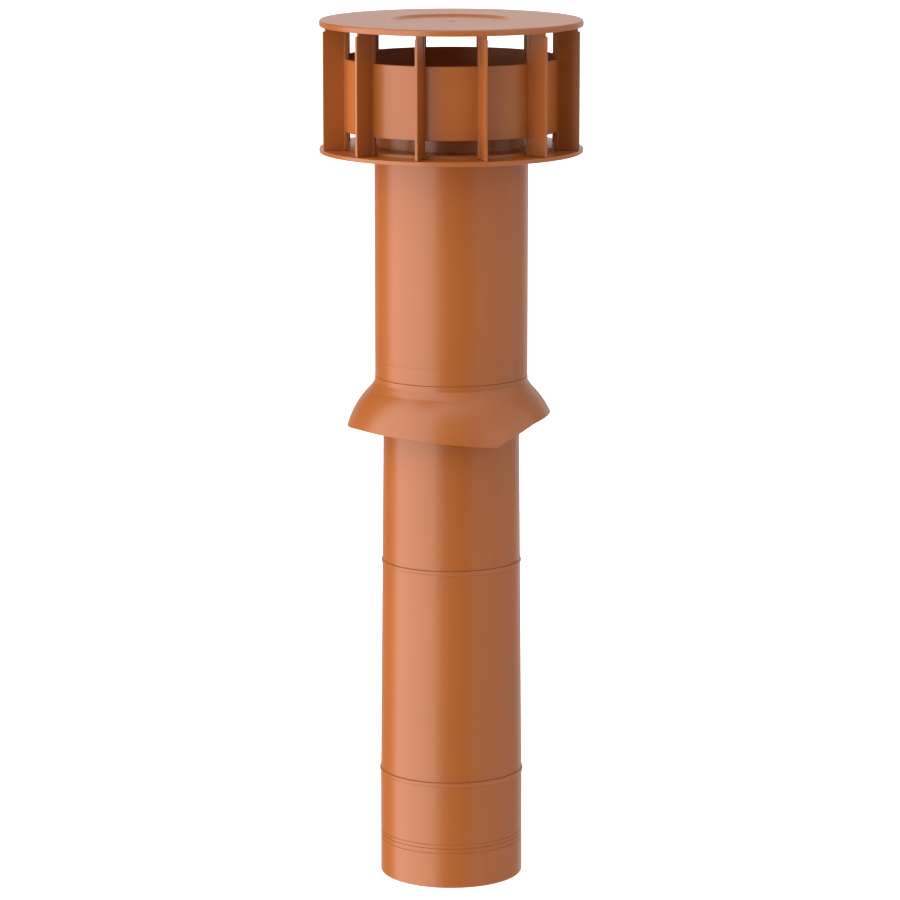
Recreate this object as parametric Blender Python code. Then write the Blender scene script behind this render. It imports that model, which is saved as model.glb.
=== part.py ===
"""Roof vent pipe: a plastic ventilation terminal with a finned cowl, a roof skirt and a plug-in lower pipe.

The pipe's axis is Z, and it stands on its cut lower end at z = 0. The photo's front is -Y.
The pieces stack upwards: each one rests on a shoulder of the piece below, with TOUCH_GAP between them.
"""

import math

import bmesh
import bpy

# Fits between pieces, in metres
TOUCH_GAP = 0.0003
FIT_GAP = 0.0003
TONGUE_CLEARANCE = 0.0005
STEP_CLEARANCE = 0.0010

# Facets round the axis
SEGMENTS = 48

# Lower pipe: constant below its lower bead, slightly narrower towards the skirt
PIPE_RADIUS = 0.0800
TAPER_STEP = 0.00025
PIPE_WALL = 0.0032
END_WALL = 0.0040
END_COLLAR_LENGTH = 0.0455
END_EDGE_ROUNDING = 0.0015
BOTTOM_LENGTH = 0.0765
MIDDLE_LENGTH = 0.2416
TOP_LENGTH = 0.2241
PLUG_LENGTH = 0.0250
PLUG_WALL = 0.0024
PLUG_ROOT = 0.0060
BEAD_RISE = 0.00115
BEAD_HEIGHT = 0.0044
BEAD_POINTS = 5

# Roof skirt: a spigot that plugs into the sleeve, a collar that carries it, and the bell over the roof tile
SKIRT_WALL = 0.0030
SKIRT_SPIGOT_LENGTH = 0.0186
SPIGOT_PLAY = 0.00335
COLLAR_LEDGE = 0.0002
COLLAR_HEIGHT = 0.0061
THROAT_DROP = 0.0085
NECK_OFFSET = 0.0052
NECK_DROP = 0.0076
BELL_WALL = 0.0028
BELL_ARC_RADIUS = 0.0969
BELL_START_DEGREES = 45.8
BELL_UNCUT_DROP = 0.0675
BELL_ARC_POINTS = 7

# The bell's rim: a gently sagging downhill lip with a lower tip, and a steeper cut on the uphill side
RIM_TURN_DEGREES = -8.8
RIM_TIP_AT = -0.1140
RIM_TIP_DROP = 0.0045
RIM_HIGH_AT = -0.0850
RIM_HIGH_DROP = 0.0534
RIM_CORNER_AT = 0.0660
RIM_CORNER_DROP = 0.0637
RIM_SAG = 1.8
UPHILL_CUT_DEGREES = 29.1
RIM_BEND_AT = 0.0995
UPHILL_TIP_DEGREES = 14.4
RIM_LIP_POINTS = 10

# Sleeve: the pipe above the roof, which narrows to a spigot inside the cowl
SLEEVE_RADIUS = 0.0850
SLEEVE_WALL = 0.0032
SLEEVE_LENGTH = 0.2492
SHOULDER_WIDTH = 0.0023
COWL_SPIGOT_LENGTH = 0.0506
SLEEVE_SHOULDER_ROOT = 0.0060

# Base flange of the cowl, with a raised step that centres the louvre ring
FLANGE_LEDGE = 0.0006
FLANGE_THICKNESS = 0.0047
FLANGE_EDGE_ROUNDING = 0.0008
STEP_HEIGHT = 0.0030
STEP_EDGE_ROUNDING = 0.0008

# Louvre ring: twelve blades on inner posts, joined by the shroud band
BLADE_COUNT = 12
FIRST_BLADE_DEGREES = 15.0
BLADE_THICKNESS = 0.0031
BLADE_STEP_OUT = 0.0027
POST_REVEAL = 0.0010
POST_THICKNESS = 0.0045
LOUVRE_HEIGHT = 0.1373
NOTCH_BELOW_RIM = 0.0035
SHROUD_RADIUS = 0.1205
SHROUD_WALL = 0.0030
SHROUD_HEIGHT = 0.0800
SHROUD_LIFT = 0.0195

# Cap: a thin disc with a turned-down rim and a round recess
CAP_RADIUS = 0.1452
CAP_PLATE = 0.0030
CAP_RIM_DEPTH = 0.0070
CAP_RIM_WALL = 0.0024
CAP_EDGE_ROUNDING = 0.0025
CAP_LOWER_ROUNDING = 0.0008
RECESS_RADIUS = 0.0672
RECESS_DEPTH = 0.0028
RECESS_DRAFT = 0.0045
ROUNDING_POINTS = 4

# Heights of the shoulders, from the cut end upwards
BOTTOM_SHOULDER = END_COLLAR_LENGTH
MIDDLE_SHOULDER = BOTTOM_SHOULDER + BOTTOM_LENGTH
TOP_SHOULDER = MIDDLE_SHOULDER + MIDDLE_LENGTH
PIPE_TOP = TOP_SHOULDER + TOP_LENGTH
SKIRT_SPIGOT_TOP = PIPE_TOP + TOUCH_GAP + SKIRT_WALL
COLLAR_TOP = SKIRT_SPIGOT_TOP - SKIRT_SPIGOT_LENGTH
SLEEVE_SHOULDER = COLLAR_TOP + SLEEVE_LENGTH
FLANGE_UNDERSIDE = SLEEVE_SHOULDER + TOUCH_GAP
FLANGE_TOP = FLANGE_UNDERSIDE + FLANGE_THICKNESS
LOUVRE_BOTTOM = FLANGE_TOP + TOUCH_GAP
LOUVRE_TOP = LOUVRE_BOTTOM + LOUVRE_HEIGHT
CAP_UNDERSIDE = LOUVRE_TOP + TOUCH_GAP
CAP_TOP = CAP_UNDERSIDE + CAP_PLATE

# Radii of the cowl: the blades stand inside the cap's rim and on the flange, their posts hold the band
CAP_RIM_BORE = CAP_RADIUS - CAP_RIM_WALL
TONGUE_RADIUS = CAP_RIM_BORE - TONGUE_CLEARANCE
BLADE_OUTER_RADIUS = TONGUE_RADIUS + BLADE_STEP_OUT
FLANGE_RADIUS = BLADE_OUTER_RADIUS + FLANGE_LEDGE
SHROUD_BORE = SHROUD_RADIUS - SHROUD_WALL
POST_OUTER_RADIUS = SHROUD_RADIUS + POST_REVEAL
POST_INNER_RADIUS = SHROUD_BORE - POST_REVEAL
STEP_RADIUS = POST_INNER_RADIUS - STEP_CLEARANCE

# Radii of the pipes: the skirt's spigot fills the sleeve, and the lower pipe narrows to stand inside it
COWL_SPIGOT_RADIUS = SLEEVE_RADIUS - SHOULDER_WIDTH
FLANGE_BORE = COWL_SPIGOT_RADIUS + FIT_GAP
SLEEVE_BORE = SLEEVE_RADIUS - SLEEVE_WALL
SKIRT_SPIGOT_RADIUS = SLEEVE_BORE - FIT_GAP
SKIRT_SPIGOT_BORE = SKIRT_SPIGOT_RADIUS - SKIRT_WALL
COLLAR_RADIUS = SLEEVE_RADIUS + COLLAR_LEDGE
TAPER_FOOT_RADIUS = PIPE_RADIUS - TAPER_STEP
TAPER_TOP_RADIUS = SKIRT_SPIGOT_BORE - SPIGOT_PLAY

# Looks of the moulded plastic
TERRACOTTA = (0.347, 0.094, 0.018, 1.0)
TERRACOTTA_ROUGHNESS = 0.28
SMOOTH_ANGLE = math.radians(32)


def clear_scene():
    for old in list(bpy.data.objects):
        bpy.data.objects.remove(old, do_unlink=True)


def plastic(name):
    material = bpy.data.materials.new(name)
    material.use_nodes = True
    shader = material.node_tree.nodes["Principled BSDF"]
    shader.inputs["Base Color"].default_value = TERRACOTTA
    shader.inputs["Roughness"].default_value = TERRACOTTA_ROUGHNESS
    shader.inputs["Metallic"].default_value = 0.0
    return material


def add_object(name, mesh_builder):
    """Makes a named object with its own material from a filled bmesh."""
    bmesh.ops.recalc_face_normals(mesh_builder, faces=mesh_builder.faces)
    mesh = bpy.data.meshes.new(name)
    mesh_builder.to_mesh(mesh)
    mesh_builder.free()
    mesh.materials.append(plastic(name + "_plastic"))
    mesh.shade_smooth()
    mesh.set_sharp_from_angle(angle=SMOOTH_ANGLE)
    piece = bpy.data.objects.new(name, mesh)
    bpy.context.collection.objects.link(piece)
    return piece


def arc(centre, radius, start, end, points):
    """Points on an arc in the (radius, height) plane; angles in radians from the outward direction."""
    angles = [start + (end - start) * i / (points - 1) for i in range(points)]
    return [(centre[0] + radius * math.cos(a), centre[1] + radius * math.sin(a)) for a in angles]


def turned(name, profile):
    """Spins a closed outline of (radius, height) points round Z."""
    bm = bmesh.new()
    corners = [bm.verts.new((radius, 0.0, height)) for radius, height in profile]
    edges = [bm.edges.new((a, b)) for a, b in zip(corners, corners[1:])]
    if profile[0][0] > 0.0:
        edges.append(bm.edges.new((corners[-1], corners[0])))
    bmesh.ops.spin(
        bm,
        geom=corners + edges,
        cent=(0.0, 0.0, 0.0),
        axis=(0.0, 0.0, 1.0),
        angle=math.tau,
        steps=SEGMENTS,
        use_merge=True,
    )
    bmesh.ops.remove_doubles(bm, verts=bm.verts, dist=0.00001)
    return add_object(name, bm)


def boolean(target, tool, operation):
    """Cuts or joins a tool into the target, and leaves the tool out of the model."""
    tool.hide_render = True
    tool.display_type = "WIRE"
    modifier = target.modifiers.new(operation.lower(), "BOOLEAN")
    modifier.operation = operation
    modifier.solver = "EXACT"
    modifier.object = tool


def pipe_radius(height):
    """Outer radius of the lower pipe, which is straight up to its lower bead and then narrows."""
    if height <= MIDDLE_SHOULDER:
        return PIPE_RADIUS
    share = (height - MIDDLE_SHOULDER) / (PIPE_TOP - MIDDLE_SHOULDER)
    return TAPER_FOOT_RADIUS + (TAPER_TOP_RADIUS - TAPER_FOOT_RADIUS) * share


def pipe_bore(height):
    """Inner radius of the lower pipe."""
    return pipe_radius(height) - PIPE_WALL


def bead_outline(top):
    """Half-round ring that the pipe carries just under a shoulder."""
    middle = top - BEAD_HEIGHT / 2
    points = []
    for i in range(BEAD_POINTS):
        turn = math.pi * i / (BEAD_POINTS - 1)
        height = middle - BEAD_HEIGHT / 2 * math.cos(turn)
        points.append((pipe_radius(height) + BEAD_RISE * math.sin(turn), height))
    return points


def plug_outline(shoulder, bore):
    """Plug above a shoulder that enters the next pipe length, from its foot outside to its root in the bore."""
    tip = shoulder + PLUG_LENGTH
    foot_radius = pipe_bore(shoulder + TOUCH_GAP) - FIT_GAP
    tip_radius = pipe_bore(tip) - FIT_GAP
    root = shoulder - PLUG_ROOT
    return [
        (foot_radius, shoulder),
        (tip_radius, tip),
        (tip_radius - PLUG_WALL, tip),
        (foot_radius - PLUG_WALL, root),
        (bore, root - PLUG_ROOT),
    ]


def pipe_length(name, bottom, shoulder, bead):
    """A length of the lower pipe that ends in a shoulder and a plug."""
    outside = bead_outline(shoulder) if bead else [(pipe_radius(shoulder), shoulder)]
    profile = [(pipe_bore(bottom), bottom), (pipe_radius(bottom), bottom)]
    return turned(name, profile + outside + plug_outline(shoulder, pipe_bore(shoulder)))


def end_collar():
    """Short collar at the cut lower end, which the whole vent stands on."""
    edge = END_EDGE_ROUNDING
    corner = arc((PIPE_RADIUS - edge, edge), edge, -math.pi / 2, 0.0, ROUNDING_POINTS)
    bore = PIPE_RADIUS - END_WALL
    profile = [(bore, 0.0)] + corner + [(PIPE_RADIUS, BOTTOM_SHOULDER)]
    return turned("end_collar", profile + plug_outline(BOTTOM_SHOULDER, bore))


def top_pipe_length():
    """Uppermost length of the lower pipe, which ends plain inside the skirt."""
    bottom = TOP_SHOULDER + TOUCH_GAP
    profile = [
        (pipe_bore(bottom), bottom),
        (pipe_radius(bottom), bottom),
        (pipe_radius(PIPE_TOP), PIPE_TOP),
        (pipe_bore(PIPE_TOP), PIPE_TOP),
    ]
    return turned("lower_pipe_top_length", profile)


def bell_arc(radius, start_height, end_height):
    """Points between two heights on a circle round the bell's centre, which lies inwards of where the neck ends."""
    start = math.radians(BELL_START_DEGREES)
    centre_radius = COLLAR_RADIUS + NECK_OFFSET - BELL_ARC_RADIUS * math.cos(start)
    centre_height = COLLAR_TOP - COLLAR_HEIGHT - NECK_DROP - BELL_ARC_RADIUS * math.sin(start)
    turns = [math.asin((height - centre_height) / radius) for height in (start_height, end_height)]
    return arc((centre_radius, centre_height), radius, turns[0], turns[1], BELL_ARC_POINTS)


def rim_height(along):
    """Height of the bell's rim at a place along the roof's slope, positive uphill."""
    uphill = math.tan(math.radians(UPHILL_CUT_DEGREES))
    corner = COLLAR_TOP - RIM_CORNER_DROP
    if along >= RIM_BEND_AT:
        bend = corner + (RIM_BEND_AT - RIM_CORNER_AT) * uphill
        return bend + (along - RIM_BEND_AT) * math.tan(math.radians(UPHILL_TIP_DEGREES))
    if along >= RIM_CORNER_AT:
        return corner + (along - RIM_CORNER_AT) * uphill
    if along >= RIM_HIGH_AT:
        share = (along - RIM_HIGH_AT) / (RIM_CORNER_AT - RIM_HIGH_AT)
        return COLLAR_TOP - RIM_HIGH_DROP - (RIM_CORNER_DROP - RIM_HIGH_DROP) * share ** RIM_SAG
    share = (RIM_HIGH_AT - along) / (RIM_HIGH_AT - RIM_TIP_AT)
    return COLLAR_TOP - RIM_HIGH_DROP - RIM_TIP_DROP * share ** 2


def rim_cutter():
    """Block whose top follows the rim along the slope, and which runs straight across it."""
    reach = 2 * COLLAR_RADIUS
    floor = COLLAR_TOP - 2 * BELL_UNCUT_DROP
    lip = RIM_CORNER_AT - RIM_TIP_AT
    places = [RIM_TIP_AT + lip * i / (RIM_LIP_POINTS - 1) for i in range(RIM_LIP_POINTS)]
    outline = [(along, rim_height(along)) for along in [-reach] + places + [RIM_BEND_AT, reach]]
    outline += [(reach, floor), (-reach, floor)]
    bm = bmesh.new()
    face = bm.faces.new([bm.verts.new((along, -reach, height)) for along, height in outline])
    grown = bmesh.ops.extrude_face_region(bm, geom=[face], use_keep_orig=True)
    moved = [item for item in grown["geom"] if isinstance(item, bmesh.types.BMVert)]
    bmesh.ops.translate(bm, verts=moved, vec=(0.0, 2 * reach, 0.0))
    cutter = add_object("rim_cutter", bm)
    cutter.rotation_euler.z = math.radians(RIM_TURN_DEGREES)
    return cutter


def roof_skirt():
    """Spigot, collar and bell in one moulding, with the bell's rim cut for the roof's slope."""
    lip_underside = PIPE_TOP + TOUCH_GAP
    neck_foot = COLLAR_TOP - COLLAR_HEIGHT
    bell_end = COLLAR_TOP - BELL_UNCUT_DROP
    throat = COLLAR_TOP - THROAT_DROP
    ring_top = throat + SKIRT_WALL
    outside = [
        (SKIRT_SPIGOT_RADIUS, SKIRT_SPIGOT_TOP),
        (SKIRT_SPIGOT_RADIUS, COLLAR_TOP),
        (COLLAR_RADIUS, COLLAR_TOP),
        (COLLAR_RADIUS, neck_foot),
    ]
    outside += bell_arc(BELL_ARC_RADIUS, neck_foot - NECK_DROP, bell_end)
    inside = bell_arc(BELL_ARC_RADIUS - BELL_WALL, throat, bell_end)[::-1]
    inside += [
        (pipe_radius(throat) + FIT_GAP, throat),
        (pipe_radius(ring_top) + FIT_GAP, ring_top),
        (SKIRT_SPIGOT_BORE, ring_top),
        (SKIRT_SPIGOT_BORE, lip_underside),
        (pipe_bore(PIPE_TOP), lip_underside),
        (pipe_bore(PIPE_TOP), SKIRT_SPIGOT_TOP),
    ]
    skirt = turned("roof_skirt", outside + inside)
    boolean(skirt, rim_cutter(), "DIFFERENCE")
    return skirt


def upper_sleeve():
    """Pipe above the roof, from the skirt's collar to its narrower spigot inside the cowl."""
    bottom = COLLAR_TOP + TOUCH_GAP
    spigot_top = SLEEVE_SHOULDER + COWL_SPIGOT_LENGTH
    spigot_bore = COWL_SPIGOT_RADIUS - SLEEVE_WALL
    root = SLEEVE_SHOULDER - SLEEVE_SHOULDER_ROOT
    profile = [
        (SLEEVE_BORE, bottom),
        (SLEEVE_RADIUS, bottom),
        (SLEEVE_RADIUS, SLEEVE_SHOULDER),
        (COWL_SPIGOT_RADIUS, SLEEVE_SHOULDER),
        (COWL_SPIGOT_RADIUS, spigot_top),
        (spigot_bore, spigot_top),
        (spigot_bore, root),
        (SLEEVE_BORE, root - SLEEVE_SHOULDER_ROOT),
    ]
    return turned("upper_sleeve", profile)


def base_flange():
    """Flat ring under the louvres, on the sleeve's shoulder, with a raised step round the spigot."""
    edge = FLANGE_EDGE_ROUNDING
    step_edge = STEP_EDGE_ROUNDING
    step_top = FLANGE_TOP + STEP_HEIGHT
    profile = [
        (FLANGE_BORE, FLANGE_UNDERSIDE),
        (FLANGE_RADIUS - edge, FLANGE_UNDERSIDE),
        (FLANGE_RADIUS, FLANGE_UNDERSIDE + edge),
        (FLANGE_RADIUS, FLANGE_TOP - edge),
        (FLANGE_RADIUS - edge, FLANGE_TOP),
        (STEP_RADIUS, FLANGE_TOP),
        (STEP_RADIUS, step_top - step_edge),
        (STEP_RADIUS - step_edge, step_top),
        (FLANGE_BORE, step_top),
    ]
    return turned("base_flange", profile)


def blade(bm, degrees):
    """One upright blade with its inner post, and a narrower tongue that enters the cap's rim."""
    notch = CAP_TOP - CAP_RIM_DEPTH - NOTCH_BELOW_RIM
    half_post = POST_THICKNESS / 2
    half_blade = BLADE_THICKNESS / 2
    plan = [
        (POST_INNER_RADIUS, -half_post),
        (POST_OUTER_RADIUS, -half_post),
        (POST_OUTER_RADIUS, -half_blade),
        (TONGUE_RADIUS, -half_blade),
        (BLADE_OUTER_RADIUS, -half_blade),
        (BLADE_OUTER_RADIUS, half_blade),
        (TONGUE_RADIUS, half_blade),
        (POST_OUTER_RADIUS, half_blade),
        (POST_OUTER_RADIUS, half_post),
        (POST_INNER_RADIUS, half_post),
    ]
    turn = math.radians(degrees)
    cos, sin = math.cos(turn), math.sin(turn)
    corners = [bm.verts.new((x * cos - y * sin, x * sin + y * cos, LOUVRE_BOTTOM)) for x, y in plan]
    full_height = bm.faces.new(corners[:4] + corners[6:])
    outer_edge = bm.faces.new(corners[3:7])
    grown = bmesh.ops.extrude_face_region(bm, geom=[full_height, outer_edge], use_keep_orig=True)
    moved = [item for item in grown["geom"] if isinstance(item, bmesh.types.BMVert)]
    bmesh.ops.translate(bm, verts=moved, vec=(0.0, 0.0, notch - LOUVRE_BOTTOM))
    tops = [item for item in grown["geom"] if isinstance(item, bmesh.types.BMFace)]
    tongue = max(tops, key=lambda face: len(face.verts))
    grown = bmesh.ops.extrude_face_region(bm, geom=[tongue])
    moved = [item for item in grown["geom"] if isinstance(item, bmesh.types.BMVert)]
    bmesh.ops.translate(bm, verts=moved, vec=(0.0, 0.0, LOUVRE_TOP - notch))
    bmesh.ops.delete(bm, geom=[tongue], context="FACES_ONLY")


def louvre_ring():
    """Shroud band and blades in one moulding."""
    shroud_bottom = LOUVRE_BOTTOM + SHROUD_LIFT
    shroud_top = shroud_bottom + SHROUD_HEIGHT
    band = turned(
        "louvre_ring",
        [
            (SHROUD_BORE, shroud_bottom),
            (SHROUD_RADIUS, shroud_bottom),
            (SHROUD_RADIUS, shroud_top),
            (SHROUD_BORE, shroud_top),
        ],
    )
    bm = bmesh.new()
    for i in range(BLADE_COUNT):
        blade(bm, FIRST_BLADE_DEGREES + 360.0 * i / BLADE_COUNT)
    boolean(band, add_object("blades", bm), "UNION")
    return band


def cap_disc():
    """Rain cap: a thin plate with a turned-down rim and a round recess in its top."""
    rounding = CAP_EDGE_ROUNDING
    lower = CAP_LOWER_ROUNDING
    rim_bottom = CAP_TOP - CAP_RIM_DEPTH
    recess_floor = CAP_TOP - RECESS_DEPTH
    recess_underside = recess_floor - CAP_PLATE
    outer_corner = arc(
        (CAP_RADIUS - rounding, CAP_TOP - rounding), rounding, 0.0, math.pi / 2, ROUNDING_POINTS
    )
    profile = [
        (0.0, recess_underside),
        (RECESS_RADIUS - RECESS_DRAFT + CAP_PLATE, recess_underside),
        (RECESS_RADIUS + CAP_PLATE, CAP_UNDERSIDE),
        (CAP_RIM_BORE, CAP_UNDERSIDE),
        (CAP_RIM_BORE, rim_bottom),
        (CAP_RADIUS - lower, rim_bottom),
        (CAP_RADIUS, rim_bottom + lower),
    ]
    profile += outer_corner
    profile += [
        (RECESS_RADIUS, CAP_TOP),
        (RECESS_RADIUS - RECESS_DRAFT, recess_floor),
        (0.0, recess_floor),
    ]
    return turned("cap_disc", profile)


def build():
    clear_scene()
    end_collar()
    pipe_length("lower_pipe_bottom_length", BOTTOM_SHOULDER + TOUCH_GAP, MIDDLE_SHOULDER, True)
    pipe_length("lower_pipe_middle_length", MIDDLE_SHOULDER + TOUCH_GAP, TOP_SHOULDER, True)
    top_pipe_length()
    roof_skirt()
    upper_sleeve()
    base_flange()
    louvre_ring()
    cap_disc()


build()
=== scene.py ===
"""Looks of the roof vent pipe: finely turned mouldings in satin terracotta plastic."""

import math

import bmesh
import bpy
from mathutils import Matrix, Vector


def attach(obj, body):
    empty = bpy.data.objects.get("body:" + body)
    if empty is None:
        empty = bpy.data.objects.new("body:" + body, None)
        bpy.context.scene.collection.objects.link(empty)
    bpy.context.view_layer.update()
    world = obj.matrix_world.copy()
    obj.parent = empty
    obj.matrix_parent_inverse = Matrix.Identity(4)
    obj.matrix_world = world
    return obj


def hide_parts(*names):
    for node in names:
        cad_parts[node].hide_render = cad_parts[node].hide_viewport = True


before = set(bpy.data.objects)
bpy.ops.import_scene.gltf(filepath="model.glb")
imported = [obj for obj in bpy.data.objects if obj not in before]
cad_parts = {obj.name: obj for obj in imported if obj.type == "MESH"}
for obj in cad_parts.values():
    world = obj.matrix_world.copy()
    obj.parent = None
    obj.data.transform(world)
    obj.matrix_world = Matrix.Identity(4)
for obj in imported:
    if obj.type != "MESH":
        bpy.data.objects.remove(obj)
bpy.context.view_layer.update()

# Camera, from the fit to the photograph
CAMERA_DISTANCE = 4.3754
CAMERA_HEIGHT = 1.3346
CAMERA_PITCH_DEGREES = 10.976
CAMERA_YAW_DEGREES = 0.019
CAMERA_LENS_MM = 159.27
CAMERA_SENSOR_MM = 36.0
CAMERA_CLIP_END = 200.0

# Fineness of the meshes
SEGMENTS = 192
FILLET_POINTS = 5
FILLET_SHARE = 0.45  # the most of an edge that a fillet takes
BEAD_POINTS = 13
BELL_POINTS = 28
BLADE_ROUNDING_STEPS = 3
BLADE_ROUNDING_PROFILE = 0.5
SHARP_DEGREES = 38
POLE_RADIUS = 0.00001  # a profile point nearer the axis than this lies on it

# Lower pipe
PIPE_RADIUS = 0.0800
TAPER_FOOT_RADIUS = 0.07975
TAPER_TOP_RADIUS = 0.07515
PIPE_WALL = 0.0032
END_WALL = 0.0040
BOTTOM_SHOULDER = 0.0455
MIDDLE_SHOULDER = 0.1220
TOP_SHOULDER = 0.3636
PIPE_TOP = 0.5877
PLUG_LENGTH = 0.0250
PLUG_WALL = 0.0024
PLUG_ROOT = 0.0060
BEAD_RISE = 0.00115
BEAD_HEIGHT = 0.0044
TOUCH_GAP = 0.0003
FIT_GAP = 0.0003
JOINT_ROUNDING = 0.0004
END_ROUNDING = 0.0015
END_BORE_ROUNDING = 0.0005
GROOVE_DEPTH = 0.0006
GROOVE_WIDTH = 0.0013
GROOVE_ABOVE_SEAM = 0.0046
GROOVE_BELOW_SEAM = 0.0053

# Skirt
COLLAR_TOP = 0.5724
COLLAR_RADIUS = 0.0852
COLLAR_HEIGHT = 0.0061
COLLAR_ROUNDING = 0.0010
COLLAR_FOOT_ROUNDING = 0.0012
NECK_OFFSET = 0.0052
NECK_DROP = 0.0076
SKIRT_WALL = 0.0030
SKIRT_SPIGOT_RADIUS = 0.0815
SKIRT_SPIGOT_TOP = 0.5910
THROAT_DROP = 0.0085
BELL_WALL = 0.0028
BELL_ARC_RADIUS = 0.0969
BELL_START_DEGREES = 45.8
BELL_TURN_LIMIT_DEGREES = 60
BELL_TURN_HALVINGS = 40
RIM_ROUNDING = 0.0007
RIM_TURN_DEGREES = -8.8
RIM_TIP_AT = -0.1140
RIM_TIP_DROP = 0.0045
RIM_HIGH_AT = -0.0850
RIM_HIGH_DROP = 0.0534
RIM_CORNER_AT = 0.0660
RIM_CORNER_DROP = 0.0637
RIM_SAG = 1.8
UPHILL_CUT_DEGREES = 29.1
RIM_BEND_AT = 0.0995
UPHILL_TIP_DEGREES = 14.4

# Sleeve
SLEEVE_RADIUS = 0.0850
SLEEVE_WALL = 0.0032
SLEEVE_SHOULDER = 0.8216
COWL_SPIGOT_RADIUS = 0.0827
COWL_SPIGOT_TOP = 0.8722
SLEEVE_ROOT = 0.0060
COWL_SPIGOT_ROUNDING = 0.0008
SPIGOT_LINE_HEIGHT = 0.5910
SPIGOT_LINE_DEPTH = 0.0004

# Flange
FLANGE_UNDERSIDE = 0.8219
FLANGE_TOP = 0.8266
FLANGE_RADIUS = 0.1456
FLANGE_ROUNDING = 0.0009
STEP_RADIUS = 0.1155
STEP_TOP = 0.8296
STEP_ROUNDING = 0.0008
STEP_FOOT_ROUNDING = 0.0004
FLANGE_BORE = 0.0830
FLANGE_BORE_ROUNDING = 0.0003
PLATE_RING_RADII = (0.1250, 0.1410)
PLATE_RING_DEPTH = 0.0002

# Louvre ring
BLADE_COUNT = 12
FIRST_BLADE_DEGREES = 15.0
LOUVRE_BOTTOM = 0.8269
LOUVRE_TOP = 0.9642
NOTCH_HEIGHT = 0.9570
TONGUE_RADIUS = 0.1423
BLADE_OUTER_RADIUS = 0.1450
BLADE_THICKNESS = 0.0031
BLADE_ROOT_INSET = 0.0006
POST_INNER_RADIUS = 0.1165
POST_OUTER_RADIUS = 0.1215
POST_THICKNESS = 0.0045
FOOT_DEPTH = 0.0014
FOOT_HEIGHT = 0.0016
FOOT_SPREAD = 0.0014
BLADE_ROUNDING = 0.0005
SHROUD_RADIUS = 0.1205
SHROUD_WALL = 0.0030
SHROUD_BOTTOM = 0.8464
SHROUD_TOP = 0.9264
SHROUD_ROUNDING = 0.0009

# Cap
CAP_TOP = 0.9675
CAP_UNDERSIDE = 0.9645
CAP_RADIUS = 0.1452
CAP_RIM_BOTTOM = 0.9605
CAP_RIM_BORE = 0.1428
CAP_ROUNDING = 0.0025
CAP_LOWER_ROUNDING = 0.0008
CAP_RIM_BORE_ROUNDING = 0.0004
CAP_RIM_ROOT_ROUNDING = 0.0006
CAP_FOLD_ROUNDING = 0.0004
CAP_PLATE = 0.0030
RECESS_RADIUS = 0.0672
RECESS_DEPTH = 0.0028
RECESS_DRAFT = 0.0045
RECESS_ROUNDING = 0.0009
GATE_RADIUS = 0.0040
GATE_DEPTH = 0.0013
GATE_FLOOR_SHARE = 0.6
GATE_ROUNDING = 0.0004
GATE_FLOOR_ROUNDING = 0.0003

# Plastic
TERRACOTTA_DEEP = (0.340, 0.0925, 0.0170)
TERRACOTTA_PALE = (0.358, 0.0985, 0.0186)
CLOUD_SCALE = 7.0
CLOUD_LOW = 0.20
CLOUD_HIGH = 0.80
GLOSS_SCALE = 22.0
ROUGHNESS_LOW = 0.28
ROUGHNESS_HIGH = 0.33
GRAIN_SCALE = 260.0
GRAIN_STRENGTH = 0.02
GRAIN_HEIGHT = 0.0004
NOISE_DETAIL = 1.0
PLASTIC_IOR = 1.5

# Floor
FLOOR_RADIUS = 40.0
FLOOR_SEGMENTS = 64
FLOOR_GREY = 0.92
FLOOR_ROUGHNESS = 0.9
FLOOR_SPECULAR = 0.1
FLOOR_GLOW = 0.7

WHITE = (1.0, 1.0, 1.0, 1.0)


# Shapes

def fillet(outline):
    """Rounds the (radius, height, rounding) corners of a closed outline into plain points."""
    rounded = []
    count = len(outline)
    for i, (r, z, size) in enumerate(outline):
        here = Vector((r, z))
        if size <= 0.0:
            rounded.append((r, z))
            continue
        before = Vector(outline[i - 1][:2]) - here
        after = Vector(outline[(i + 1) % count][:2]) - here
        half = before.angle(after) / 2
        reach = min(
            size / math.tan(half), FILLET_SHARE * before.length, FILLET_SHARE * after.length
        )
        size = reach * math.tan(half)
        start = here + before.normalized() * reach
        end = here + after.normalized() * reach
        middle = (before.normalized() + after.normalized()).normalized()
        centre = here + middle * (size / math.sin(half))
        a, b = start - centre, end - centre
        turn = a.angle_signed(b)
        for k in range(FILLET_POINTS):
            angle = -turn * k / (FILLET_POINTS - 1)
            cos, sin = math.cos(angle), math.sin(angle)
            rounded.append(
                (centre.x + a.x * cos - a.y * sin, centre.y + a.x * sin + a.y * cos)
            )
    return rounded


def revolve(name, profile_at, azimuths=None):
    """Builds a moulding from the closed profile of (radius, height) points at each azimuth."""
    azimuths = azimuths or [math.tau * i / SEGMENTS for i in range(SEGMENTS)]
    bm = bmesh.new()
    poles = {}
    rings = []
    for azimuth in azimuths:
        ring = []
        for k, (r, z) in enumerate(profile_at(azimuth)):
            if r < POLE_RADIUS:
                if k not in poles:
                    poles[k] = bm.verts.new((0.0, 0.0, z))
                ring.append(poles[k])
            else:
                ring.append(bm.verts.new((r * math.cos(azimuth), r * math.sin(azimuth), z)))
        rings.append(ring)
    count = len(rings[0])
    for ring, following in zip(rings, rings[1:] + rings[:1]):
        for k in range(count):
            j = (k + 1) % count
            corners = []
            for vert in (ring[k], following[k], following[j], ring[j]):
                if vert not in corners:
                    corners.append(vert)
            if len(corners) > 2:
                bm.faces.new(corners)
    return moulding(name, bm)


def turned(name, outline):
    """Builds a round moulding from one outline of (radius, height, rounding) corners."""
    profile = fillet(outline)
    return revolve(name, lambda azimuth: profile)


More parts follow.
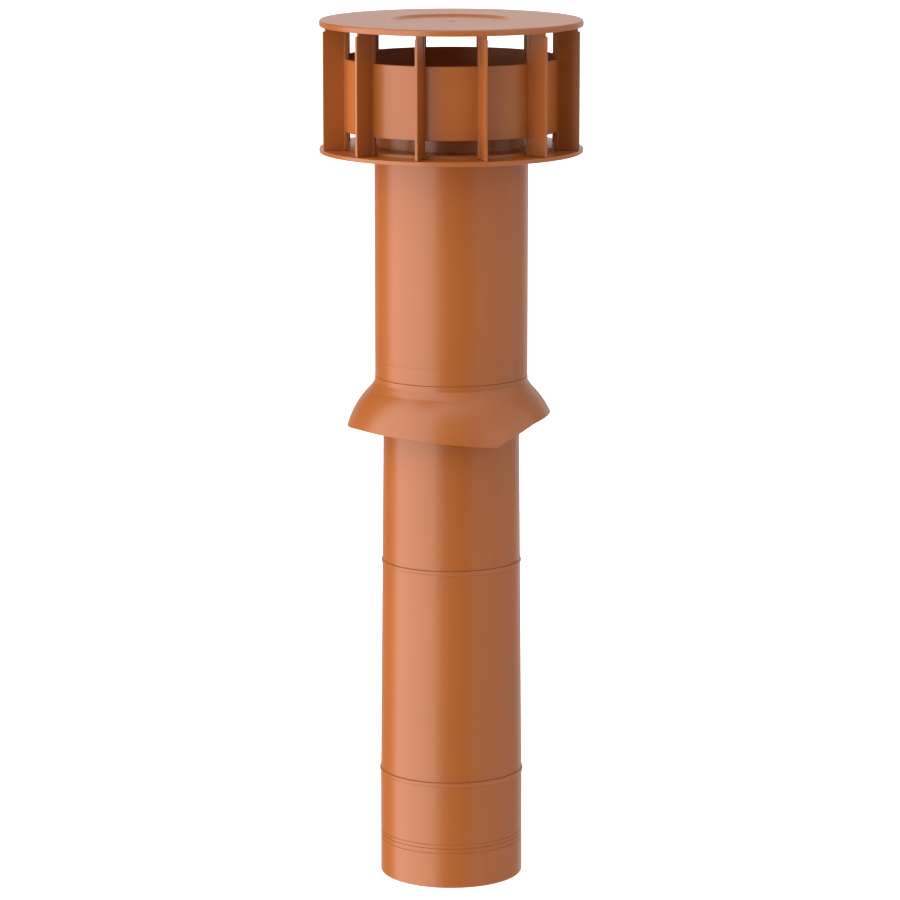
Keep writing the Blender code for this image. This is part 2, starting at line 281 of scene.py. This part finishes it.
def moulding(name, bm):
    """Turns a mesh under construction into a smooth piece with crisp edges."""
    bmesh.ops.recalc_face_normals(bm, faces=bm.faces)
    mesh = bpy.data.meshes.new(name)
    bm.to_mesh(mesh)
    bm.free()
    mesh.shade_smooth()
    mesh.set_sharp_from_angle(angle=math.radians(SHARP_DEGREES))
    piece = bpy.data.objects.new(name, mesh)
    bpy.context.collection.objects.link(piece)
    weighted = piece.modifiers.new("weighted_normals", "WEIGHTED_NORMAL")
    weighted.keep_sharp = True
    return piece


def pipe_radius(height):
    if height <= MIDDLE_SHOULDER:
        return PIPE_RADIUS
    share = (height - MIDDLE_SHOULDER) / (PIPE_TOP - MIDDLE_SHOULDER)
    return TAPER_FOOT_RADIUS + (TAPER_TOP_RADIUS - TAPER_FOOT_RADIUS) * share


def pipe_bore(height):
    return pipe_radius(height) - PIPE_WALL


def groove(height, radius, depth=GROOVE_DEPTH):
    """Corners of a fine V-groove in an upright wall, from below to above."""
    return [
        (radius, height - GROOVE_WIDTH / 2, 0.0),
        (radius - depth, height, 0.0),
        (radius, height + GROOVE_WIDTH / 2, 0.0),
    ]


def bead(top):
    """Corners of a half-round ring whose upper edge is at a height."""
    middle = top - BEAD_HEIGHT / 2
    corners = []
    for i in range(BEAD_POINTS):
        turn = math.pi * i / (BEAD_POINTS - 1)
        height = middle - BEAD_HEIGHT / 2 * math.cos(turn)
        corners.append((pipe_radius(height) + BEAD_RISE * math.sin(turn), height, 0.0))
    return corners


def plug(shoulder, bore):
    """Corners of a length's upper end, which plugs into the length above, and of its bore."""
    tip = shoulder + PLUG_LENGTH
    foot_radius = pipe_bore(shoulder + TOUCH_GAP) - FIT_GAP
    tip_radius = pipe_bore(tip) - FIT_GAP
    root = shoulder - PLUG_ROOT
    return [
        (foot_radius, shoulder, 0.0),
        (tip_radius, tip, JOINT_ROUNDING),
        (tip_radius - PLUG_WALL, tip, JOINT_ROUNDING),
        (foot_radius - PLUG_WALL, root, 0.0),
        (bore, root - PLUG_ROOT, 0.0),
    ]


def make_end_collar():
    bore = PIPE_RADIUS - END_WALL
    outline = [(bore, 0.0, END_BORE_ROUNDING), (PIPE_RADIUS, 0.0, END_ROUNDING)]
    outline += groove(BOTTOM_SHOULDER - GROOVE_BELOW_SEAM, PIPE_RADIUS)
    outline += [(PIPE_RADIUS, BOTTOM_SHOULDER, JOINT_ROUNDING)]
    outline += plug(BOTTOM_SHOULDER, bore)
    return turned("end_collar_moulding", outline)


def make_pipe_length(name, bottom, shoulder, marks):
    outline = [
        (pipe_bore(bottom), bottom, JOINT_ROUNDING),
        (pipe_radius(bottom), bottom, JOINT_ROUNDING),
    ]
    outline += marks + bead(shoulder) + plug(shoulder, pipe_bore(shoulder))
    return turned(name, outline)


def make_top_length():
    bottom = TOP_SHOULDER + TOUCH_GAP
    return turned(
        "pipe_top_length_moulding",
        [
            (pipe_bore(bottom), bottom, JOINT_ROUNDING),
            (pipe_radius(bottom), bottom, JOINT_ROUNDING),
            (pipe_radius(PIPE_TOP), PIPE_TOP, JOINT_ROUNDING),
            (pipe_bore(PIPE_TOP), PIPE_TOP, JOINT_ROUNDING),
        ],
    )


def rim_height(along):
    """Height of the skirt's cut rim at a distance along the roof's slope, uphill positive."""
    uphill = math.tan(math.radians(UPHILL_CUT_DEGREES))
    corner = COLLAR_TOP - RIM_CORNER_DROP
    if along >= RIM_BEND_AT:
        bend = corner + (RIM_BEND_AT - RIM_CORNER_AT) * uphill
        return bend + (along - RIM_BEND_AT) * math.tan(math.radians(UPHILL_TIP_DEGREES))
    if along >= RIM_CORNER_AT:
        return corner + (along - RIM_CORNER_AT) * uphill
    if along >= RIM_HIGH_AT:
        share = (along - RIM_HIGH_AT) / (RIM_CORNER_AT - RIM_HIGH_AT)
        sag = (RIM_CORNER_DROP - RIM_HIGH_DROP) * share ** RIM_SAG
        return COLLAR_TOP - RIM_HIGH_DROP - sag
    share = (RIM_HIGH_AT - along) / (RIM_HIGH_AT - RIM_TIP_AT)
    return COLLAR_TOP - RIM_HIGH_DROP - RIM_TIP_DROP * share ** 2


BELL_START = math.radians(BELL_START_DEGREES)
BELL_CENTRE_RADIUS = COLLAR_RADIUS + NECK_OFFSET - BELL_ARC_RADIUS * math.cos(BELL_START)
BELL_CENTRE_HEIGHT = (
    COLLAR_TOP - COLLAR_HEIGHT - NECK_DROP - BELL_ARC_RADIUS * math.sin(BELL_START)
)


def bell_turn_at_rim(radius, azimuth):
    """Angle on a bell circle of this radius where it meets the cut rim at an azimuth."""
    low, high = 0.0, math.radians(BELL_TURN_LIMIT_DEGREES)
    for _ in range(BELL_TURN_HALVINGS):
        turn = (low + high) / 2
        reach = BELL_CENTRE_RADIUS + radius * math.cos(turn)
        along = reach * math.cos(azimuth - math.radians(RIM_TURN_DEGREES))
        if BELL_CENTRE_HEIGHT + radius * math.sin(turn) > rim_height(along):
            high = turn
        else:
            low = turn
    return turn


def bell_points(radius, start, end):
    """Corners along an arc of the bell, from one angle to another."""
    corners = []
    for i in range(BELL_POINTS):
        turn = start + (end - start) * i / (BELL_POINTS - 1)
        reach = BELL_CENTRE_RADIUS + radius * math.cos(turn)
        corners.append((reach, BELL_CENTRE_HEIGHT + radius * math.sin(turn), 0.0))
    return corners


def skirt_profile(azimuth):
    throat = COLLAR_TOP - THROAT_DROP
    ring_top = throat + SKIRT_WALL
    lip_underside = SKIRT_SPIGOT_TOP - SKIRT_WALL
    spigot_bore = SKIRT_SPIGOT_RADIUS - SKIRT_WALL
    inner_radius = BELL_ARC_RADIUS - BELL_WALL
    outer = bell_points(BELL_ARC_RADIUS, BELL_START, bell_turn_at_rim(BELL_ARC_RADIUS, azimuth))
    inner = bell_points(
        inner_radius,
        bell_turn_at_rim(inner_radius, azimuth),
        math.asin((throat - BELL_CENTRE_HEIGHT) / inner_radius),
    )
    outer[-1] = outer[-1][:2] + (RIM_ROUNDING,)
    inner[0] = inner[0][:2] + (RIM_ROUNDING,)
    outline = [
        (SKIRT_SPIGOT_RADIUS, SKIRT_SPIGOT_TOP, JOINT_ROUNDING),
        (SKIRT_SPIGOT_RADIUS, COLLAR_TOP, 0.0),
        (COLLAR_RADIUS, COLLAR_TOP, COLLAR_ROUNDING),
        (COLLAR_RADIUS, COLLAR_TOP - COLLAR_HEIGHT, COLLAR_FOOT_ROUNDING),
    ]
    outline += outer + inner
    outline += [
        (pipe_radius(throat) + FIT_GAP, throat, 0.0),
        (pipe_radius(ring_top) + FIT_GAP, ring_top, 0.0),
        (spigot_bore, ring_top, 0.0),
        (spigot_bore, lip_underside, 0.0),
        (pipe_bore(PIPE_TOP), lip_underside, 0.0),
        (pipe_bore(PIPE_TOP), SKIRT_SPIGOT_TOP, JOINT_ROUNDING),
    ]
    return fillet(outline)


def make_skirt():
    """The skirt, with two of its azimuths moved to the corners of its outer rim."""
    corner = math.acos(RIM_CORNER_AT / (BELL_CENTRE_RADIUS + BELL_ARC_RADIUS))
    corners = [math.radians(RIM_TURN_DEGREES) + side * corner for side in (-1, 1)]
    azimuths = [math.tau * i / SEGMENTS for i in range(SEGMENTS)]
    for turn in corners:
        turn %= math.tau
        nearest = min(range(SEGMENTS), key=lambda i: abs(azimuths[i] - turn))
        azimuths[nearest] = turn
    return revolve("skirt_moulding", skirt_profile, azimuths)


def make_sleeve():
    bottom = COLLAR_TOP + TOUCH_GAP
    bore = SLEEVE_RADIUS - SLEEVE_WALL
    spigot_bore = COWL_SPIGOT_RADIUS - SLEEVE_WALL
    root = SLEEVE_SHOULDER - SLEEVE_ROOT
    outline = [(bore, bottom, JOINT_ROUNDING), (SLEEVE_RADIUS, bottom, JOINT_ROUNDING)]
    outline += groove(SPIGOT_LINE_HEIGHT, SLEEVE_RADIUS, SPIGOT_LINE_DEPTH)
    outline += [
        (SLEEVE_RADIUS, SLEEVE_SHOULDER, JOINT_ROUNDING),
        (COWL_SPIGOT_RADIUS, SLEEVE_SHOULDER, 0.0),
        (COWL_SPIGOT_RADIUS, COWL_SPIGOT_TOP, COWL_SPIGOT_ROUNDING),
        (spigot_bore, COWL_SPIGOT_TOP, COWL_SPIGOT_ROUNDING),
        (spigot_bore, root, 0.0),
        (bore, root - SLEEVE_ROOT, 0.0),
    ]
    return turned("sleeve_moulding", outline)


def make_flange():
    outline = [
        (FLANGE_BORE, FLANGE_UNDERSIDE, 0.0),
        (FLANGE_RADIUS, FLANGE_UNDERSIDE, FLANGE_ROUNDING),
        (FLANGE_RADIUS, FLANGE_TOP, FLANGE_ROUNDING),
    ]
    for radius in sorted(PLATE_RING_RADII, reverse=True):
        outline += [
            (radius + GROOVE_WIDTH / 2, FLANGE_TOP, 0.0),
            (radius, FLANGE_TOP - PLATE_RING_DEPTH, 0.0),
            (radius - GROOVE_WIDTH / 2, FLANGE_TOP, 0.0),
        ]
    outline += [
        (STEP_RADIUS, FLANGE_TOP, STEP_FOOT_ROUNDING),
        (STEP_RADIUS, STEP_TOP, STEP_ROUNDING),
        (FLANGE_BORE, STEP_TOP, FLANGE_BORE_ROUNDING),
    ]
    return turned("flange_moulding", outline)


def prism(bm, plan, low, high, turn):
    """Adds an upright prism over a plan of (along, across) corners, turned round Z."""
    cos, sin = math.cos(turn), math.sin(turn)
    rings = []
    for height in (low, high):
        corners = [(x * cos - y * sin, x * sin + y * cos, height) for x, y in plan]
        rings.append([bm.verts.new(corner) for corner in corners])
    count = len(plan)
    bm.faces.new(rings[0][::-1])
    bm.faces.new(rings[1])
    for i in range(count):
        j = (i + 1) % count
        bm.faces.new((rings[0][i], rings[0][j], rings[1][j], rings[1][i]))


def blade_outline():
    """Upright (radius, height) outline of a blade, with the notch at its upper outer corner."""
    inner = POST_INNER_RADIUS + BLADE_ROOT_INSET
    return [
        (inner, LOUVRE_BOTTOM),
        (BLADE_OUTER_RADIUS, LOUVRE_BOTTOM),
        (BLADE_OUTER_RADIUS, NOTCH_HEIGHT),
        (TONGUE_RADIUS, NOTCH_HEIGHT),
        (TONGUE_RADIUS, LOUVRE_TOP),
        (inner, LOUVRE_TOP),
    ]


def make_louvres():
    """Blades, posts and feet in one mesh, with rounded edges."""
    bm = bmesh.new()
    half = BLADE_THICKNESS / 2
    half_post = POST_THICKNESS / 2
    for i in range(BLADE_COUNT):
        turn = math.radians(FIRST_BLADE_DEGREES) + math.tau * i / BLADE_COUNT
        cos, sin = math.cos(turn), math.sin(turn)
        sides = []
        for y in (-half, half):
            corners = [(r * cos - y * sin, r * sin + y * cos, z) for r, z in blade_outline()]
            sides.append([bm.verts.new(corner) for corner in corners])
        count = len(sides[0])
        bm.faces.new(sides[0])
        bm.faces.new(sides[1][::-1])
        for k in range(count):
            j = (k + 1) % count
            bm.faces.new((sides[0][k], sides[1][k], sides[1][j], sides[0][j]))
        post = [
            (POST_INNER_RADIUS, -half_post),
            (POST_OUTER_RADIUS, -half_post),
            (POST_OUTER_RADIUS, half_post),
            (POST_INNER_RADIUS, half_post),
        ]
        prism(bm, post, LOUVRE_BOTTOM, LOUVRE_TOP, turn)
        spread = half_post + FOOT_SPREAD
        foot = [
            (POST_OUTER_RADIUS - FOOT_DEPTH, -spread),
            (POST_OUTER_RADIUS + FOOT_DEPTH, -spread),
            (POST_OUTER_RADIUS + FOOT_DEPTH, spread),
            (POST_OUTER_RADIUS - FOOT_DEPTH, spread),
        ]
        prism(bm, foot, LOUVRE_BOTTOM, LOUVRE_BOTTOM + FOOT_HEIGHT, turn)
    bmesh.ops.recalc_face_normals(bm, faces=bm.faces)
    bmesh.ops.bevel(
        bm,
        geom=list(bm.edges),
        offset=BLADE_ROUNDING,
        segments=BLADE_ROUNDING_STEPS,
        profile=BLADE_ROUNDING_PROFILE,
        affect="EDGES",
        clamp_overlap=True,
    )
    return moulding("louvre_blades_moulding", bm)


def make_shroud():
    inner = SHROUD_RADIUS - SHROUD_WALL
    return turned(
        "shroud_band_moulding",
        [
            (inner, SHROUD_BOTTOM, SHROUD_ROUNDING),
            (SHROUD_RADIUS, SHROUD_BOTTOM, SHROUD_ROUNDING),
            (SHROUD_RADIUS, SHROUD_TOP, SHROUD_ROUNDING),
            (inner, SHROUD_TOP, SHROUD_ROUNDING),
        ],
    )


def make_cap():
    floor = CAP_TOP - RECESS_DEPTH
    underside = floor - CAP_PLATE
    return turned(
        "cap_moulding",
        [
            (0.0, underside, 0.0),
            (RECESS_RADIUS - RECESS_DRAFT + CAP_PLATE, underside, RECESS_ROUNDING),
            (RECESS_RADIUS + CAP_PLATE, CAP_UNDERSIDE, CAP_FOLD_ROUNDING),
            (CAP_RIM_BORE, CAP_UNDERSIDE, CAP_RIM_ROOT_ROUNDING),
            (CAP_RIM_BORE, CAP_RIM_BOTTOM, CAP_RIM_BORE_ROUNDING),
            (CAP_RADIUS, CAP_RIM_BOTTOM, CAP_LOWER_ROUNDING),
            (CAP_RADIUS, CAP_TOP, CAP_ROUNDING),
            (RECESS_RADIUS, CAP_TOP, RECESS_ROUNDING),
            (RECESS_RADIUS - RECESS_DRAFT, floor, RECESS_ROUNDING),
            (GATE_RADIUS, floor, GATE_ROUNDING),
            (GATE_RADIUS * GATE_FLOOR_SHARE, floor - GATE_DEPTH, GATE_FLOOR_ROUNDING),
            (0.0, floor - GATE_DEPTH, 0.0),
        ],
    )


# Materials

def add(tree, kind, **values):
    node = tree.nodes.new(kind)
    for name, value in values.items():
        setattr(node, name, value)
    return node


def noise(tree, place, scale):
    """A smooth noise over the object's own coordinates."""
    node = add(tree, "ShaderNodeTexNoise")
    node.inputs["Scale"].default_value = scale
    node.inputs["Detail"].default_value = NOISE_DETAIL
    tree.links.new(place.outputs["Object"], node.inputs["Vector"])
    return node.outputs["Fac"]


def plastic(name):
    """Satin moulded plastic: slight colour clouds, uneven gloss and a very fine grain."""
    material = bpy.data.materials.new(name)
    material.use_nodes = True
    tree = material.node_tree
    link = tree.links.new
    shader = tree.nodes["Principled BSDF"]
    shader.inputs["Metallic"].default_value = 0.0
    shader.inputs["IOR"].default_value = PLASTIC_IOR
    place = add(tree, "ShaderNodeTexCoord")

    colours = add(tree, "ShaderNodeValToRGB")
    colours.color_ramp.interpolation = "EASE"
    colours.color_ramp.elements[0].position = CLOUD_LOW
    colours.color_ramp.elements[0].color = TERRACOTTA_DEEP + (1.0,)
    colours.color_ramp.elements[1].position = CLOUD_HIGH
    colours.color_ramp.elements[1].color = TERRACOTTA_PALE + (1.0,)
    link(noise(tree, place, CLOUD_SCALE), colours.inputs["Fac"])
    link(colours.outputs["Color"], shader.inputs["Base Color"])

    spread = add(tree, "ShaderNodeMapRange")
    spread.inputs["To Min"].default_value = ROUGHNESS_LOW
    spread.inputs["To Max"].default_value = ROUGHNESS_HIGH
    link(noise(tree, place, GLOSS_SCALE), spread.inputs["Value"])
    link(spread.outputs["Result"], shader.inputs["Roughness"])

    bump = add(tree, "ShaderNodeBump")
    bump.inputs["Strength"].default_value = GRAIN_STRENGTH
    bump.inputs["Distance"].default_value = GRAIN_HEIGHT
    link(noise(tree, place, GRAIN_SCALE), bump.inputs["Height"])
    link(bump.outputs["Normal"], shader.inputs["Normal"])
    return material


def floor_material():
    """Glows evenly, so that the ground stays white under the studio's light."""
    material = bpy.data.materials.new("pale_floor")
    material.use_nodes = True
    shader = material.node_tree.nodes["Principled BSDF"]
    shader.inputs["Base Color"].default_value = (FLOOR_GREY, FLOOR_GREY, FLOOR_GREY, 1.0)
    shader.inputs["Roughness"].default_value = FLOOR_ROUGHNESS
    shader.inputs["Specular IOR Level"].default_value = FLOOR_SPECULAR
    shader.inputs["Emission Color"].default_value = WHITE
    shader.inputs["Emission Strength"].default_value = FLOOR_GLOW
    return material


# Studio

# Each glow is a soft patch of the studio as the object sees it: the azimuth of its middle,
# counted from the camera towards the right, half its width, its lowest and highest elevation,
# all in degrees, and its light
GLOWS = {
    "left_soft_box": (-64, 42, -38, 60, 2.95),
    "overhead_soft_box": (-12, 34, 58, 86, 1.7),
    "overhead_rest": (180, 200, 60, 100, 0.5),
    "front_gap": (7, 28, -38, 5, 0.13),
    "front_wall": (7, 28, 22, 56, 0.42),
    "right_wall": (73, 39, -38, 5, 0.74),
    "right_wall_middle": (73, 39, 5, 30, 1.60),
    "right_wall_top": (73, 39, 30, 75, 1.00),
    "right_rear_wall": (135, 23, -38, 60, 0.45),
    "left_rear_wall": (-127, 20, -38, 60, 0.09),
    "rear_wall": (180, 24, 8, 60, 1.05),
    "rear_wall_foot": (180, 33, -38, 8, 0.50),
    "pale_table": (0, 200, -100, -38, 1.45),
}
GLOW_SOFTNESS_DEGREES = 5.0


def studio_light():
    """Builds the white studio round the object from soft patches."""
    world = bpy.data.worlds.new("studio")
    bpy.context.scene.world = world
    world.use_nodes = True
    tree = world.node_tree
    link = tree.links.new
    place = add(tree, "ShaderNodeTexCoord")
    parts = add(tree, "ShaderNodeSeparateXYZ")
    link(place.outputs["Generated"], parts.inputs["Vector"])
    level = add(tree, "ShaderNodeCombineXYZ")
    link(parts.outputs["X"], level.inputs["X"])
    link(parts.outputs["Y"], level.inputs["Y"])
    heading = add(tree, "ShaderNodeVectorMath", operation="NORMALIZE")
    link(level.outputs["Vector"], heading.inputs[0])

    def calculate(operation, *values):
        """A math node over numbers and other nodes' outputs."""
        node = add(tree, "ShaderNodeMath", operation=operation)
        for socket, value in zip(node.inputs, values):
            if isinstance(value, (int, float)):
                socket.default_value = value
            else:
                link(value, socket)
        return node.outputs["Value"]

    def rise(value, edge):
        """0 below the edge and 1 above it, with a soft change between."""
        node = add(tree, "ShaderNodeMapRange", interpolation_type="SMOOTHSTEP")
        node.inputs["From Min"].default_value = edge - math.radians(GLOW_SOFTNESS_DEGREES)
        node.inputs["From Max"].default_value = edge + math.radians(GLOW_SOFTNESS_DEGREES)
        link(value, node.inputs["Value"])
        return node.outputs["Result"]

    elevation = calculate("ARCSINE", parts.outputs["Z"])
    total = None
    for azimuth, half_width, low, high, light in GLOWS.values():
        turn = math.radians(azimuth)
        towards = add(tree, "ShaderNodeVectorMath", operation="DOT_PRODUCT")
        towards.inputs[1].default_value = (math.sin(turn), -math.cos(turn), 0.0)
        link(heading.outputs["Vector"], towards.inputs[0])
        away = calculate("ARCCOSINE", towards.outputs["Value"])
        across = rise(calculate("MULTIPLY", away, -1.0), -math.radians(half_width))
        up = rise(elevation, math.radians(low))
        down = rise(calculate("MULTIPLY", elevation, -1.0), -math.radians(high))
        inside = calculate("MULTIPLY", across, up)
        glow = calculate("MULTIPLY", inside, calculate("MULTIPLY", down, light))
        total = glow if total is None else calculate("ADD", total, glow)
    link(total, tree.nodes["Background"].inputs["Strength"])
    tree.nodes["Background"].inputs["Color"].default_value = WHITE


def studio_floor():
    bm = bmesh.new()
    bmesh.ops.create_circle(bm, cap_ends=True, radius=FLOOR_RADIUS, segments=FLOOR_SEGMENTS)
    mesh = bpy.data.meshes.new("studio_floor")
    bm.to_mesh(mesh)
    bm.free()
    floor = bpy.data.objects.new("studio_floor", mesh)
    bpy.context.collection.objects.link(floor)
    floor.data.materials.append(floor_material())
    floor.visible_glossy = False
    floor.visible_diffuse = False
    floor.visible_shadow = False


def camera():
    data = bpy.data.cameras.new("camera")
    data.lens = CAMERA_LENS_MM
    data.sensor_width = CAMERA_SENSOR_MM
    data.clip_end = CAMERA_CLIP_END
    view = bpy.data.objects.new("camera", data)
    bpy.context.collection.objects.link(view)
    view.location = (0.0, -CAMERA_DISTANCE, CAMERA_HEIGHT)
    view.rotation_euler = (
        math.radians(90 - CAMERA_PITCH_DEGREES),
        0.0,
        math.radians(CAMERA_YAW_DEGREES),
    )
    bpy.context.scene.camera = view


def build():
    camera()
    studio_light()
    studio_floor()
    terracotta = plastic("terracotta_satin")
    pieces = {
        "end_collar": [make_end_collar()],
        "lower_pipe_bottom_length": [
            make_pipe_length(
                "pipe_bottom_length_moulding",
                BOTTOM_SHOULDER + TOUCH_GAP,
                MIDDLE_SHOULDER,
                groove(BOTTOM_SHOULDER + GROOVE_ABOVE_SEAM, PIPE_RADIUS),
            )
        ],
        "lower_pipe_middle_length": [
            make_pipe_length(
                "pipe_middle_length_moulding", MIDDLE_SHOULDER + TOUCH_GAP, TOP_SHOULDER, []
            )
        ],
        "lower_pipe_top_length": [make_top_length()],
        "roof_skirt": [make_skirt()],
        "upper_sleeve": [make_sleeve()],
        "base_flange": [make_flange()],
        "louvre_ring": [make_shroud(), make_louvres()],
        "cap_disc": [make_cap()],
    }
    for node, mouldings in pieces.items():
        for piece in mouldings:
            piece.data.materials.append(terracotta)
            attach(piece, "root")
            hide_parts(node)
    scene = bpy.context.scene
    scene.view_settings.view_transform = "Standard"
    scene.view_settings.look = "None"


build()
